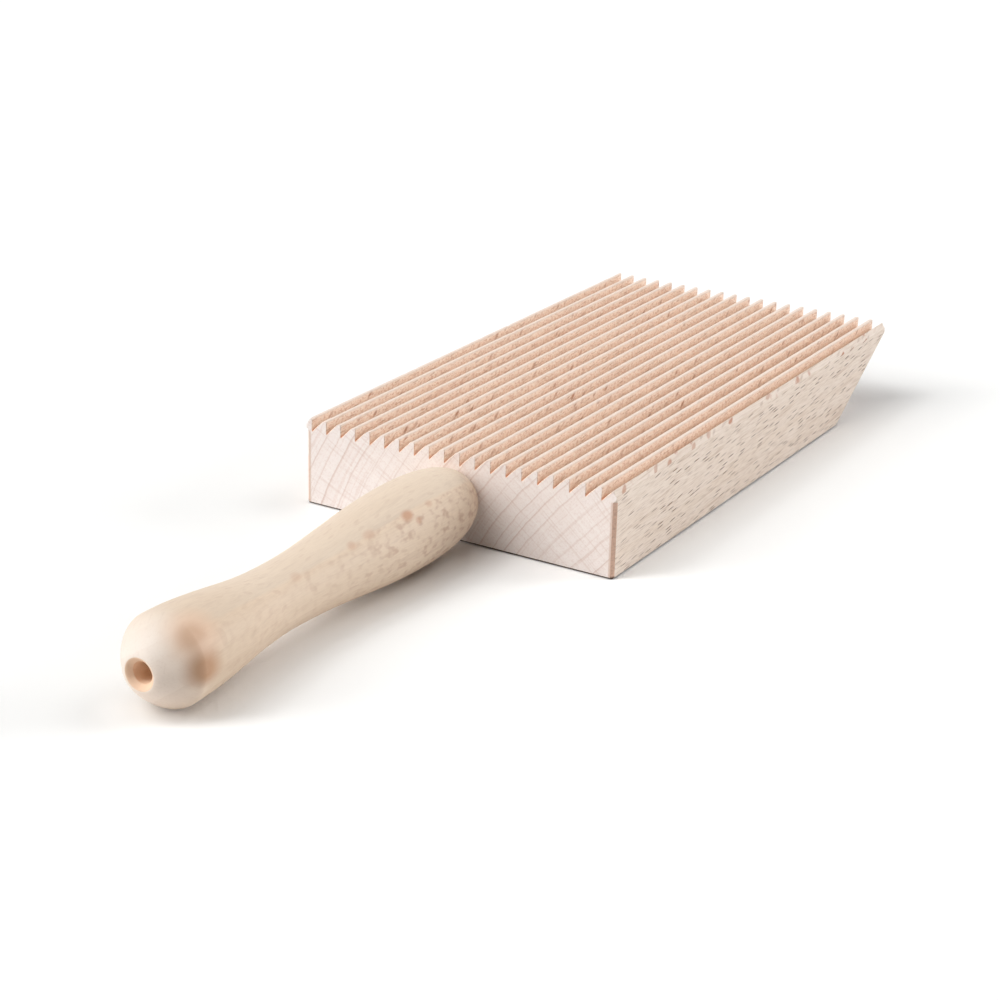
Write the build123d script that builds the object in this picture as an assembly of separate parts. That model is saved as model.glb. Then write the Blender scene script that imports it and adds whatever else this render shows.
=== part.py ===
from build123d import *
import math
import os

# Gnocchi board: a ridged beech block with a turned beech handle glued to one end on a hidden dowel.
# Millimetres. +Z is up and Z = 0 is the surface that the block rests on. +Y runs from the handle's butt
# to the block's far end, +X is to the right of someone who holds the handle, and the origin is at the
# middle of the whole board's bottom.

# Block
block_length = 130.0
block_width = 70.0
block_height = 18.2
under_bevel_run = 25.5
end_land_height = 2.5
underside_edge_break = 0.4
corner_chamfer = 0.9
top_bevel_width = 0.9
top_bevel_height = 1.5

# Grooves: saw-tooth ridges, each with a sloping left face, a rounded crest and an upright right face
groove_count = 20
groove_pitch = 3.45
groove_depth = 2.7
first_groove_inset = 1.4
crest_radius = 1.3
crest_edge_radius = 0.22

# Handle: stations are measured along its axis from the block's end face
handle_length = 95.2
nose_radius = 5.0
bulb_radius = 8.7
bulb_station = 17.3
waist_radius = 6.3
waist_station = 58.3
butt_radius = 8.6
butt_station = 88.5
butt_face_radius = 3.0

# Centre hole in the handle's butt
centre_hole_radius = 2.0
centre_hole_depth = 9.0
countersink_radius = 2.7
countersink_depth = 0.9

# Dowel and its two sockets
dowel_radius = 4.0
dowel_length = 40.0
dowel_chamfer = 0.8
flute_depth = 0.3
flute_count = 18
dowel_clearance = 0.05
socket_spare_depth = 0.6

# How full the handle's curves are, as shares of the distance between two stations
nose_fullness_share = 0.7
nose_rise_share = 0.27
swell_share = 0.4
butt_fullness_share = 0.22

drill_point_angle = 118.0
overrun = 5.0

# Places that follow from the sizes above
end_face_y = (handle_length - block_length) / 2
axis_height = block_height / 2
valley_height = block_height - groove_depth
left_side_x = -block_width / 2
right_side_x = block_width / 2
first_wall_x = left_side_x + first_groove_inset
socket_depth = dowel_length / 2 + socket_spare_depth


def ridge_edges(wall_x):
    """One ridge in the block's end view: up from the valley on its left to the upright wall at wall_x."""
    valley_x = wall_x - groove_pitch
    centre_x = wall_x - crest_edge_radius
    centre_z = block_height - crest_radius
    run = centre_x - valley_x
    rise = centre_z - valley_height
    slope = math.atan2(rise, run) + math.asin(crest_radius / math.hypot(run, rise))
    ramp_top = (centre_x - crest_radius * math.sin(slope), centre_z + crest_radius * math.cos(slope))
    half_slope = slope / 2
    crest_middle = (
        centre_x - crest_radius * math.sin(half_slope),
        centre_z + crest_radius * math.cos(half_slope),
    )
    crest_end = (centre_x, block_height)
    edge_centre_z = block_height - crest_edge_radius
    edge_middle = (
        centre_x + crest_edge_radius * math.sin(math.pi / 4),
        edge_centre_z + crest_edge_radius * math.cos(math.pi / 4),
    )
    wall_top = (wall_x, edge_centre_z)
    wall_foot = (wall_x, valley_height)
    return [
        Line((valley_x, valley_height), ramp_top),
        ThreePointArc(ramp_top, crest_middle, crest_end),
        ThreePointArc(crest_end, edge_middle, wall_top),
        Line(wall_top, wall_foot),
    ]


def ridge_cutter():
    """Everything above the ridges, as one long solid that is taken off the block's top."""
    edges = []
    for index in range(groove_count + 2):
        edges += ridge_edges(first_wall_x + index * groove_pitch)
    start = edges[0] @ 0
    end = edges[-1] @ 1
    roof = block_height + overrun
    edges += [
        Line((end.X, end.Y), (end.X, roof)),
        Line((end.X, roof), (start.X, roof)),
        Line((start.X, roof), (start.X, start.Y)),
    ]
    face = Plane.XZ * make_face(edges)
    return Pos(0, block_length + overrun, 0) * extrude(face, block_length + 2 * overrun)


def under_bevel_cutter():
    """The wedge that undercuts the block's far end, from the foot of its upright land to its underside."""
    land_foot = block_height - end_land_height
    slant = overrun * under_bevel_run / land_foot
    outline = Polyline(
        (block_length - under_bevel_run - slant, -overrun),
        (block_length, land_foot),
        (block_length + overrun, land_foot),
        (block_length + overrun, -overrun),
        close=True,
    )
    return extrude(Plane.YZ * make_face(outline), block_width, both=True)


def top_bevel_cutter():
    """The narrow bevel along the right top edge."""
    outline = Polyline(
        (right_side_x, block_height - top_bevel_height),
        (right_side_x - top_bevel_width, block_height),
        (right_side_x - top_bevel_width, block_height + overrun),
        (right_side_x + overrun, block_height + overrun),
        (right_side_x + overrun, block_height - top_bevel_height),
        close=True,
    )
    face = Plane.XZ * make_face(outline)
    return Pos(0, block_length + overrun, 0) * extrude(face, block_length + 2 * overrun)


def corner_chamfer_cutter():
    """The chamfer on the right upright corner of the end face; it runs out just above the grooves' foot."""
    setback = corner_chamfer / math.sqrt(2)
    outline = Polyline(
        (-setback, -overrun),
        (-setback, valley_height),
        (overrun, valley_height + setback + overrun),
        (overrun, -overrun),
        close=True,
    )
    outward = Plane(origin=(right_side_x, 0, 0), x_dir=(1, -1, 0), z_dir=(1, 1, 0))
    return extrude(outward * make_face(outline), overrun, both=True)


def drilled_hole(radius, depth):
    """A round hole from the origin down -Z, with the cone that a drill leaves at its bottom."""
    cone_height = radius / math.tan(math.radians(drill_point_angle / 2))
    shaft = Cylinder(radius, depth + overrun, align=(Align.CENTER, Align.CENTER, Align.MIN))
    tip = Cone(0, radius, cone_height, align=(Align.CENTER, Align.CENTER, Align.MAX))
    return Pos(0, 0, -depth) * (shaft + tip)


def facing_handle(solid):
    """Turns a solid made about the Z axis so that its +Z points along the axis to the handle's butt."""
    return Pos(0, end_face_y, axis_height) * Rot(90, 0, 0) * solid


def ridged_block():
    """The beech block, its grooved top and the socket in its end face."""
    block = Box(
        block_width, block_length, block_height, align=(Align.CENTER, Align.MIN, Align.MIN)
    )
    block -= ridge_cutter()
    block -= top_bevel_cutter()
    block -= mirror(top_bevel_cutter(), Plane.YZ)
    block -= corner_chamfer_cutter()
    block -= mirror(corner_chamfer_cutter(), Plane.YZ)
    block -= under_bevel_cutter()
    block = chamfer(block.edges().group_by(Axis.Z)[0], underside_edge_break)
    block = Pos(0, end_face_y, 0) * block
    return block - facing_handle(drilled_hole(dowel_radius + dowel_clearance, socket_depth))


def handle_outline():
    """Half of the handle's long section: station along +Y, radius along +X."""
    nose = (nose_radius, 0)
    bulb = (bulb_radius, bulb_station)
    waist = (waist_radius, waist_station)
    butt = (butt_radius, butt_station)
    face_edge = (butt_face_radius, handle_length)
    swell_in = swell_share * (waist_station - bulb_station)
    swell_out = swell_share * (butt_station - waist_station)
    dome = handle_length - butt_station
    return [
        Line((0, 0), nose),
        Bezier(
            nose,
            (nose_radius + nose_rise_share * (bulb_radius - nose_radius), 0),
            (bulb_radius, bulb_station * (1 - nose_fullness_share)),
            bulb,
        ),
        Bezier(
            bulb,
            (bulb_radius, bulb_station + swell_in),
            (waist_radius, waist_station - swell_in),
            waist,
        ),
        Bezier(
            waist,
            (waist_radius, waist_station + swell_out),
            (butt_radius, butt_station - swell_out),
            butt,
        ),
        Bezier(
            butt,
            (butt_radius, butt_station + butt_fullness_share * dome),
            (butt_face_radius + butt_fullness_share * (butt_radius - butt_face_radius), handle_length),
            face_edge,
        ),
        Line(face_edge, (0, handle_length)),
        Line((0, handle_length), (0, 0)),
    ]


def turned_handle():
    """The beech handle, with the dowel's socket in its nose and the centre hole in its butt."""
    handle = revolve(Plane.XZ * make_face(handle_outline()), Axis.Z)
    socket = Rot(180, 0, 0) * drilled_hole(dowel_radius + dowel_clearance, socket_depth)
    countersink = Cone(
        centre_hole_radius,
        countersink_radius,
        countersink_depth,
        align=(Align.CENTER, Align.CENTER, Align.MAX),
    )
    centre_hole = drilled_hole(centre_hole_radius, centre_hole_depth) + countersink
    handle -= socket
    handle -= Pos(0, 0, handle_length) * centre_hole
    return facing_handle(handle)


def joint_dowel():
    """The fluted beech dowel, half of it in each socket."""
    dowel = Cylinder(dowel_radius, dowel_length)
    dowel = chamfer(dowel.edges().filter_by(GeomType.CIRCLE), dowel_chamfer)
    flute = Pos(dowel_radius, 0, 0) * Rot(0, 0, 45) * Box(
        flute_depth * math.sqrt(2), flute_depth * math.sqrt(2), dowel_length + 2 * overrun
    )
    for index in range(flute_count):
        dowel -= Rot(0, 0, 360 * index / flute_count) * flute
    return facing_handle(dowel)


os.makedirs("parts", exist_ok=True)
export_step(ridged_block(), "parts/ridged_block.step")
export_step(turned_handle(), "parts/turned_handle.step")
export_step(joint_dowel(), "parts/joint_dowel.step")
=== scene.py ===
import math

import bmesh
import bpy
from mathutils import Matrix, Vector, noise

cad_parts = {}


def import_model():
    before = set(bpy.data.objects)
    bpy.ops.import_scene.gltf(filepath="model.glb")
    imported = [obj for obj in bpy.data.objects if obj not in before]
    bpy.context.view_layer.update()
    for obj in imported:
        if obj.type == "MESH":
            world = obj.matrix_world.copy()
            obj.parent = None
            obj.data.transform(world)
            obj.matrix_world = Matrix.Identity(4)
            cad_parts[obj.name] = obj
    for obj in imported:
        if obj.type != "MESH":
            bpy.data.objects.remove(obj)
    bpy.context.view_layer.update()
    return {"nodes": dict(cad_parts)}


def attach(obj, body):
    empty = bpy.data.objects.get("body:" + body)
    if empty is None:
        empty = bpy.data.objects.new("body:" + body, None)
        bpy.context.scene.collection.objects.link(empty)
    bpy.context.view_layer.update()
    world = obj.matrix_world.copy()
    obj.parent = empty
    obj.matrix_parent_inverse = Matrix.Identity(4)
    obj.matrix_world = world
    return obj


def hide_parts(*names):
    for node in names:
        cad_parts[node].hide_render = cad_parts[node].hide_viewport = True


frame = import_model()

# Sizes are in millimetres and meshes are written in metres. The sizes of the block, the grooves, the handle
# and the sockets repeat the CAD model's.
MM = 0.001

# Block
BLOCK_LENGTH = 130.0
BLOCK_WIDTH = 70.0
BLOCK_HEIGHT = 18.2
UNDER_BEVEL_RUN = 25.5
END_LAND_HEIGHT = 2.5
EDGE_BREAK = 0.4
CORNER_CHAMFER = 0.9
TOP_BEVEL_WIDTH = 0.9
TOP_BEVEL_HEIGHT = 1.5

# Grooves
GROOVE_COUNT = 20
GROOVE_PITCH = 3.45
GROOVE_DEPTH = 2.7
FIRST_GROOVE_INSET = 1.4
CREST_RADIUS = 1.3
CREST_EDGE_RADIUS = 0.22

# Handle: stations are measured along its axis from the block's end face
HANDLE_LENGTH = 95.2
NOSE_RADIUS = 5.0
BULB_RADIUS = 8.7
BULB_STATION = 17.3
WAIST_RADIUS = 6.3
WAIST_STATION = 58.3
BUTT_RADIUS = 8.6
BUTT_STATION = 88.5
BUTT_FACE_RADIUS = 3.0
HOLE_RADIUS = 2.0
HOLE_DEPTH = 9.0
COUNTERSINK_RADIUS = 2.7
COUNTERSINK_DEPTH = 0.9
NOSE_FULLNESS = 0.7
NOSE_RISE = 0.27
SWELL = 0.4
BUTT_FULLNESS = 0.22

# Sockets
SOCKET_RADIUS = 4.05
SOCKET_DEPTH = 20.6
DRILL_HALF_ANGLE = math.radians(59.0)

END_FACE_Y = (HANDLE_LENGTH - BLOCK_LENGTH) / 2
AXIS_HEIGHT = BLOCK_HEIGHT / 2
VALLEY_HEIGHT = BLOCK_HEIGHT - GROOVE_DEPTH
LAND_FOOT = BLOCK_HEIGHT - END_LAND_HEIGHT
HALF_WIDTH = BLOCK_WIDTH / 2
FIRST_WALL_X = FIRST_GROOVE_INSET - HALF_WIDTH
CORNER_SETBACK = CORNER_CHAMFER / math.sqrt(2)

# Mesh detail
ROW_SPACING = 0.75
ARRIS = 0.12
END_MARGIN = 1.2
CORNER_ROWS = 3
TOUCH = 0.01
EDGE_REACH = 0.1
RING_SEGMENTS = 144
FIRST_WORN_RING = 4
SOCKET_SEGMENTS = 48
SIDE_HEIGHTS = (5, 10)
UNDERSIDE_COLUMNS = 8
TOP_BEVEL_STEPS = 2
SLOPE_STEPS = 3
CREST_STEPS = 4
CREST_EDGE_STEPS = 3
WALL_STEPS = 4
NOSE_STEPS = 24
WAIST_STEPS = 40
BUTT_STEPS = 28
DOME_STEPS = 20
COUNTERSINK_STEPS = 3
BORE_STEPS = 4
HOLE_RIM_WIDTH = 0.25
HOLE_RIM_DROP = 0.08
WELD_DISTANCE = 0.001
SHARP_ANGLE = math.radians(32)

# Wear: its depth, its reach down from the crest, how rare it is, and the spacing and seed of its noise
CHIP_REACH = 1.2
CHIP_DEPTH = 0.3
CHIP_RARITY = 0.32
CHIP_GAIN = 1.1
CHIP_SPACING = Vector((0.6, 0.55, 0.0))
CHIP_SEED = Vector((0.0, 0.0, 3.7))
TORN_DEPTH = 0.05
TORN_SPACING = Vector((1.1, 1.6, 1.4))
TORN_SEED = Vector((0.0, 0.0, 9.0))
TURNING_DEPTH = 0.035
TURNING_SPACING = 0.9
TURNING_SEED = 0.3
SANDING_DEPTH = 0.06
SANDING_SPACING = Vector((2.2, 0.12, 2.2))

# Camera, solved from the photograph
CAMERA_PLACE = (217.382, -370.917, 171.343)
CAMERA_YAW = math.radians(30.386)
CAMERA_PITCH = math.radians(21.414)
CAMERA_ROLL = math.radians(1.619)
CAMERA_LENS = 83.148
SENSOR_WIDTH = 36.0
CAMERA_REACH = 20

# Light: a window at the front left, as three soft lamps one above another, a glow opposite it and a soft
# ceiling. Azimuth 0 is +X and 90 is +Y. A share is the part of white at which one lamp alone would render a
# white surface that faces it.
LAMP_SPREAD = math.radians(30)
WINDOW_AZIMUTH = 225
WINDOW_HEIGHTS = (20, 40, 60)
WINDOW_SHARE = 0.33
GLOW_AZIMUTH = 45
LOW_GLOW_HEIGHT = 15
LOW_GLOW_SHARE = 0.5
HIGH_GLOW_HEIGHT = 50
HIGH_GLOW_SHARE = 0.2
CEILING_HEIGHT = 90
CEILING_SHARE = 0.15
WORLD_LIGHT = 0.03
WORLD_TINT = (0.96, 0.98, 1.0)

# Floor: its two tones as the camera sees them, and the one by which it lights the object
FLOOR_HALF_SIZE = 6
FLOOR_ROUGHNESS = 0.9
PAPER_SIZE = 60
FLOOR_TONES = ((0.995, 0.992, 0.98), (1.0, 1.0, 0.99))
FLOOR_LIT_TONE = (0.80, 0.80, 0.80)

# The rays that see the backdrop's own white; every other ray sees what lights the object
SHOWING_RAYS = ("Is Camera Ray", "Is Glossy Ray", "Is Transmission Ray")


# Node wiring

# The mix node's sockets for colours, which share their names with those for numbers
FIRST_COLOUR, SECOND_COLOUR, MIXED_COLOUR = 6, 7, 2


class Wire:
    """A node's output that can stand in a formula; each operator adds a Math node."""

    def __init__(self, graph, socket):
        self.graph = graph
        self.socket = socket

    def __add__(self, other):
        return self.graph.maths("ADD", self, other)

    def __sub__(self, other):
        return self.graph.maths("SUBTRACT", self, other)

    def __rsub__(self, other):
        return self.graph.maths("SUBTRACT", other, self)

    def __mul__(self, other):
        return self.graph.maths("MULTIPLY", self, other)

    def __truediv__(self, other):
        return self.graph.maths("DIVIDE", self, other)


class Graph:
    """A material and the few kinds of node that its formulas use."""

    def __init__(self, name):
        self.material = bpy.data.materials.new(name)
        self.material.use_nodes = True
        self.tree = self.material.node_tree
        self.tree.nodes.clear()
        self.output = self.tree.nodes.new("ShaderNodeOutputMaterial")
        self.shader = self.tree.nodes.new("ShaderNodeBsdfPrincipled")
        self.tree.links.new(self.shader.outputs["BSDF"], self.output.inputs["Surface"])

    def node(self, kind, **settings):
        """A new node with its settings."""
        made = self.tree.nodes.new(kind)
        for name, value in settings.items():
            setattr(made, name, value)
        return made

    def feed(self, socket, value):
        """Links a wire to a socket, or sets the socket's own value."""
        if isinstance(value, Wire):
            self.tree.links.new(value.socket, socket)
        else:
            socket.default_value = value

    def maths(self, operation, *values):
        made = self.node("ShaderNodeMath", operation=operation)
        for socket, value in zip(made.inputs, values):
            self.feed(socket, value)
        return Wire(self, made.outputs[0])

    def root(self, value):
        return self.maths("SQRT", value)

    def fraction(self, value):
        return self.maths("FRACT", value)

    def step(self, value, low, high):
        """0 at low and below, 1 at high and above, smooth between them; low may be the larger."""
        made = self.node("ShaderNodeMapRange", interpolation_type="SMOOTHSTEP")
        self.feed(made.inputs["Value"], value)
        made.inputs["From Min"].default_value = min(low, high)
        made.inputs["From Max"].default_value = max(low, high)
        if low > high:
            made.inputs["To Min"].default_value = 1.0
            made.inputs["To Max"].default_value = 0.0
        return Wire(self, made.outputs["Result"])

    def vector(self, x, y, z):
        """Three values as one vector."""
        made = self.node("ShaderNodeCombineXYZ")
        for socket, value in zip(made.inputs, (x, y, z)):
            self.feed(socket, value)
        return Wire(self, made.outputs[0])

    def noise(self, place, detail, roughness=0.5):
        """Noise about 0.5 whose features are about one unit of place across."""
        made = self.node("ShaderNodeTexNoise")
        self.feed(made.inputs["Vector"], place)
        made.inputs["Scale"].default_value = 1.0
        made.inputs["Detail"].default_value = detail
        made.inputs["Roughness"].default_value = roughness
        return Wire(self, made.outputs["Fac"])

    def cells(self, place, dimensions="2D"):
        """Distance to the nearest of a cloud of points, one per unit, and that point's own number."""
        made = self.node("ShaderNodeTexVoronoi", voronoi_dimensions=dimensions)
        self.feed(made.inputs["Vector"], place)
        made.inputs["Scale"].default_value = 1.0
        split = self.node("ShaderNodeSeparateColor")
        self.tree.links.new(made.outputs["Color"], split.inputs[0])
        return Wire(self, made.outputs["Distance"]), Wire(self, split.outputs[0])

    def random(self, value):
        """A number from 0 to 1 that belongs to one value."""
        made = self.node("ShaderNodeTexWhiteNoise", noise_dimensions="1D")
        self.feed(made.inputs["W"], value)
        return Wire(self, made.outputs["Value"])

    def blend(self, share, first, second):
        """The first colour at a share of 0, the second at 1."""
        made = self.node("ShaderNodeMix", data_type="RGBA")
        self.feed(made.inputs["Factor"], share)
        self.feed(made.inputs[FIRST_COLOUR], colour(first))
        self.feed(made.inputs[SECOND_COLOUR], colour(second))
        return Wire(self, made.outputs[MIXED_COLOUR])

    def bump(self, height, strength, depth):
        """A normal tilted by a height; depth is in millimetres."""
        made = self.node("ShaderNodeBump")
        made.inputs["Strength"].default_value = strength
        made.inputs["Distance"].default_value = depth * MM
        self.feed(made.inputs["Height"], height)
        return Wire(self, made.outputs["Normal"])

    def place(self):
        """The object's own coordinates, in millimetres."""
        texture = self.node("ShaderNodeTexCoord")
        split = self.node("ShaderNodeSeparateXYZ")
        self.tree.links.new(texture.outputs["Object"], split.inputs[0])
        return [Wire(self, out) * (1 / MM) for out in split.outputs]


def colour(value):
    """A wire as it is, or a plain colour with its alpha."""
    if isinstance(value, Wire):
        return value
    return (*value, 1.0)


# Wood

# Sizes of the wood's features, across the grain and then along it; a depth, a height or a lean is one number
WANDER_SIZE = (21, 70)
RIPPLE_SIZE = (3, 26)
RING_UNEVENNESS = 8
FINE_RING_SIZE = (0.5, 25)
RAY_SWAY_SIZE = (3, 9)
RAY_SWAY_DEPTH = 30
RAY_LINE_SIZE = (0.42, 30)
RAY_LINE_DEPTH = 12
FIBRE_SIZE = (0.22, 5)
GRAIN_LINE_SIZE = (1.1, 16)
GRAIN_LINE_HEIGHT = 0.7
GRAIN_LINE_LEAN = 0.065
CLOUD_SIZE = (9, 34)
PATCH_SIZE = (12, 17)
PATCH_HEIGHT = 8
SPECK_SIZE = (0.42, 0.75)

# How far waves in the wood move its rings and then its rays, and the seeds that keep features apart
WANDER_SHIFTS = (2.4, 1.5)
RIPPLE_SHIFTS = (0.5, 0.3)
RING_SHIFT = 1.6
RAY_SHIFT = 0.5
RING_SEED = 0.5
FINE_DASH_SEED = 7
PATCH_SEED = 3

# Where each feature starts and where it is full, on its own scale from 0 to 1. A fine dash has these shares
# of a dash's gap and length. A streak's core is a share of its size.
RING_LINE_RISE = (0.82, 0.94)
RING_TONE_RISE = (0.1, 0.95)
RING_FALL = (1.0, 0.965)
RING_LINE_WEAKEST = 0.3
FINE_RING_RISE = (0.52, 0.74)
DASH_EDGE = (0.19, 0.11)
DASH_STRENGTH = (0.05, 0.6)
FINE_DASH_EDGE = (0.30, 0.10)
FINE_DASH_SHARE = (0.5, 0.6)
PALE_RAY_RISE = (0.56, 0.74)
DARK_RAY_RISE = (0.44, 0.26)
GRAIN_LINE_RISE = (0.55, 0.72)
STREAK_STRENGTH = (0.35, 0.95)
STREAK_CORE = 0.4
STREAK_WOBBLE = 0.25
SPOT_FADE = (1.0, 0.25)
SPOT_WANDER = 0.5

# Shine
WOOD_IOR = 1.5
WOOD_SPECULAR = 0.3


class Beech:
    """Solid beech: growth rings round a pith that runs along Y, and rays that point away from it."""

    def __init__(self, graph, pith, lean, ring_gap, ray_gap, ray_tall, shift):
        self.graph = graph
        self.shift = shift
        x, y, z = graph.place()
        self.x, self.y, self.z = x, y, z
        across = x - pith[0] - y * lean[0]
        up = z - pith[1] - y * lean[1]
        wander = self.grain_noise(WANDER_SIZE, detail=1.0)
        ripple = self.grain_noise(RIPPLE_SIZE, detail=2.0)
        self.radius = graph.root(across * across + up * up)
        self.radius = self.radius + wander * WANDER_SHIFTS[0] + ripple * RIPPLE_SHIFTS[0]
        mean_radius = math.hypot(*pith)
        self.around = graph.maths("ARCTAN2", up, across) * mean_radius
        self.around = self.around + wander * WANDER_SHIFTS[1] + ripple * RIPPLE_SHIFTS[1]
        self.rings(ring_gap)
        self.rays(ray_gap, ray_tall)
        self.fibres()

    def grain_noise(self, size, detail, roughness=0.5):
        """Noise with features of one size across the grain and another along it."""
        across, along = size
        place = self.graph.vector(self.x / across, self.y / along + self.shift, self.z / across)
        return self.graph.noise(place, detail, roughness)

    def rings(self, gap):
        """Growth rings: each darkens slowly outwards, ends in a thin line and has finer lines within."""
        graph = self.graph
        place = graph.vector(self.radius / RING_UNEVENNESS, self.shift, RING_SEED)
        uneven = graph.noise(place, detail=1.0)
        count = self.radius / gap + uneven * RING_SHIFT
        share = graph.fraction(count)
        own = graph.random(graph.maths("FLOOR", count))
        fall = graph.step(share, *RING_FALL)
        strength = own * (1 - RING_LINE_WEAKEST) + RING_LINE_WEAKEST
        self.ring_line = graph.step(share, *RING_LINE_RISE) * fall * strength
        self.ring_tone = graph.step(share, *RING_TONE_RISE) * fall * own
        width, length = FINE_RING_SIZE
        place = graph.vector(self.radius / width, self.around / length, self.shift)
        inner = graph.noise(place, detail=1.0)
        self.fine_ring = graph.step(inner, *FINE_RING_RISE)

    def rays(self, gap, tall):
        """Rays: thin upright ribbons, seen as dashes on the sides and as lines on the end grain."""
        graph = self.graph
        width, length = RAY_SWAY_SIZE
        place = graph.vector(self.around / width, self.y / length + self.shift, self.radius / RAY_SWAY_DEPTH)
        sway = graph.noise(place, detail=1.0)
        t = self.around + sway * RAY_SHIFT
        far, own = graph.cells(graph.vector(t / gap, self.y / tall + self.shift, 0.0))
        self.dash = graph.step(far, *DASH_EDGE) * graph.step(own, *DASH_STRENGTH)
        fine_gap, fine_tall = gap * FINE_DASH_SHARE[0], tall * FINE_DASH_SHARE[1]
        fine_y = self.y / fine_tall + self.shift + FINE_DASH_SEED
        near, other = graph.cells(graph.vector(t / fine_gap, fine_y, 0.0))
        self.fine_dash = graph.step(near, *FINE_DASH_EDGE) * other
        width, length = RAY_LINE_SIZE
        place = graph.vector(self.around / width, self.radius / RAY_LINE_DEPTH, self.y / length + self.shift)
        line = graph.noise(place, detail=1.0)
        self.pale_ray = graph.step(line, *PALE_RAY_RISE)
        self.dark_ray = graph.step(line, *DARK_RAY_RISE)

    def fibres(self):
        """Fibres, grain lines, clouds, patches and specks, from fine to coarse and back."""
        graph = self.graph
        shift = self.shift
        x, y, z = self.x, self.y, self.z
        self.fibre = self.grain_noise(FIBRE_SIZE, detail=3.0, roughness=0.6)
        width, length = GRAIN_LINE_SIZE
        climb = (z - y * GRAIN_LINE_LEAN) / GRAIN_LINE_HEIGHT
        line = graph.noise(graph.vector(x / width, y / length + shift, climb), detail=2.0)
        self.grain_line = graph.step(line, *GRAIN_LINE_RISE)
        self.cloud = self.grain_noise(CLOUD_SIZE, detail=2.0)
        width, length = PATCH_SIZE
        place = graph.vector(x / width, y / length + shift + PATCH_SEED, z / PATCH_HEIGHT)
        self.patch = graph.noise(place, detail=1.0)
        self.speck = self.grain_noise(SPECK_SIZE, detail=2.0, roughness=0.6)

    def streak(self, length, thickness, tilt, size):
        """Short blots that climb towards +Y by a tilt, each of its own strength."""
        graph = self.graph
        wobble = self.speck * STREAK_WOBBLE
        along = self.y * math.cos(tilt) + self.z * math.sin(tilt)
        beside = self.z * math.cos(tilt) - self.y * math.sin(tilt)
        far, own = graph.cells(
            graph.vector(along / length + wobble, self.x / thickness, beside / thickness + wobble), "3D"
        )
        return graph.step(far, size, size * STREAK_CORE) * graph.step(own, *STREAK_STRENGTH)

    def spot(self, place, size):
        """A soft mark round a place on the surface."""
        graph = self.graph
        terms = []
        for here, centre, reach in zip((self.x, self.y, self.z), place, size):
            part = (here - centre) / reach
            terms.append(part * part)
        far = graph.root(terms[0] + terms[1] + terms[2]) + self.cloud * SPOT_WANDER - SPOT_WANDER / 2
        return graph.step(far, *SPOT_FADE)


# Each piece's wood: where the pith passes in X and Z and how it leans along Y, the gaps between rings and
# between rays, the rays' length, and a shift that keeps its pattern its own
BLOCK_GRAIN = dict(
    pith=(85.0, -44.0), lean=(0.03, 0.065), ring_gap=2.9, ray_gap=0.62, ray_tall=8.0, shift=0.0
)
HANDLE_GRAIN = dict(
    pith=(38.0, -37.0), lean=(0.02, 0.01), ring_gap=2.9, ray_gap=0.8, ray_tall=6.0, shift=40.0
)
DOWEL_GRAIN = dict(
    pith=(-38.0, 30.0), lean=(0.0, 0.0), ring_gap=2.4, ray_gap=0.8, ray_tall=4.0, shift=90.0
)

# The handle's marks, reddish stains on the bulb and brown and tan patches round the butt's shoulder: each
# one's station, its angle round the axis from +X upwards in degrees, its reach across and along the grain,
# its strength and its colour
RED_STAIN = (0.58, 0.30, 0.18)
BROWN_BUTT_PATCH = (0.50, 0.265, 0.14)
TAN_BUTT_PATCH = (0.80, 0.54, 0.38)
HANDLE_MARKS = (
    (26, 45, 1.5, 2.2, 0.80, RED_STAIN),
    (24, 33, 0.9, 1.1, 0.50, RED_STAIN),
    (19, 45, 1.0, 1.4, 0.35, RED_STAIN),
    (42, 48, 1.3, 1.6, 0.40, RED_STAIN),
    (37, 50, 1.2, 2.4, 0.35, RED_STAIN),
    (58, 50, 1.2, 1.8, 0.25, RED_STAIN),
    (88, 45, 6.5, 7.5, 0.60, TAN_BUTT_PATCH),
    (89, 45, 3.3, 4.4, 0.45, BROWN_BUTT_PATCH),
    (89, 5, 4.5, 5.8, 0.85, BROWN_BUTT_PATCH),
)


def finish(graph, base, roughness, height, strength, depth):
    """Sets the shader's colour, roughness and bump; depth is in millimetres."""
    graph.feed(graph.shader.inputs["Base Color"], base)
    graph.feed(graph.shader.inputs["Roughness"], roughness)
    graph.feed(graph.shader.inputs["Normal"], graph.bump(height, strength, depth))
    graph.shader.inputs["IOR"].default_value = WOOD_IOR
    graph.shader.inputs["Specular IOR Level"].default_value = WOOD_SPECULAR
    return graph.material


# Marks and painted light and shade on the block. A fade is how far a mark starts and ends from the edge or
# height that it follows, and END_PAINTED_LIGHT_FADE, for the painted light on the end face, runs across it in
# X. A streak has a length, a thickness, a tilt and its size as a share of those. A rise is where a mark
# starts and where it is full on its feature's scale from 0 to 1.
BEVEL_FADE = (0.6, 0.2)
BEVEL_STREAK = (4.0, 3.0, math.radians(50), 0.34)
RIDGE_STREAK = (3.6, 1.5, math.radians(38), 0.40)
GROOVE_LIGHT_REACH = 2.0
TORN_STAIN_SIZE = (3, 6)
TORN_STAIN_SEED = 5.0
FOOT_FADE = (0.9, 0.1)
FRONT_FADE = (4.0, 0.5)
CREST_FADE = (0.7, 0.1)
END_PAINTED_LIGHT_FADE = (5.0, -25.0)
RUBBED_FADE = (0.6, 0.2)
RUBBED_TOP_FADE = 0.4
CONTACT_SHADOW_FADE = (0.35, 0.1)
PLANED_FIBRE_RISE = (0.42, 0.66)
PLANED_PATCH_RISE = (0.36, 0.60)
DARK_SPECK_RISE = (0.49, 0.64)
PALE_SPECK_RISE = (0.47, 0.32)
RIDGE_PATCH_RISE = (0.3, 0.65)
TORN_RISE = (0.5, 0.68)
END_SPECK_RISE = (0.45, 0.72)
CORNER_SPECK_RISE = (0.4, 0.7)

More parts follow.
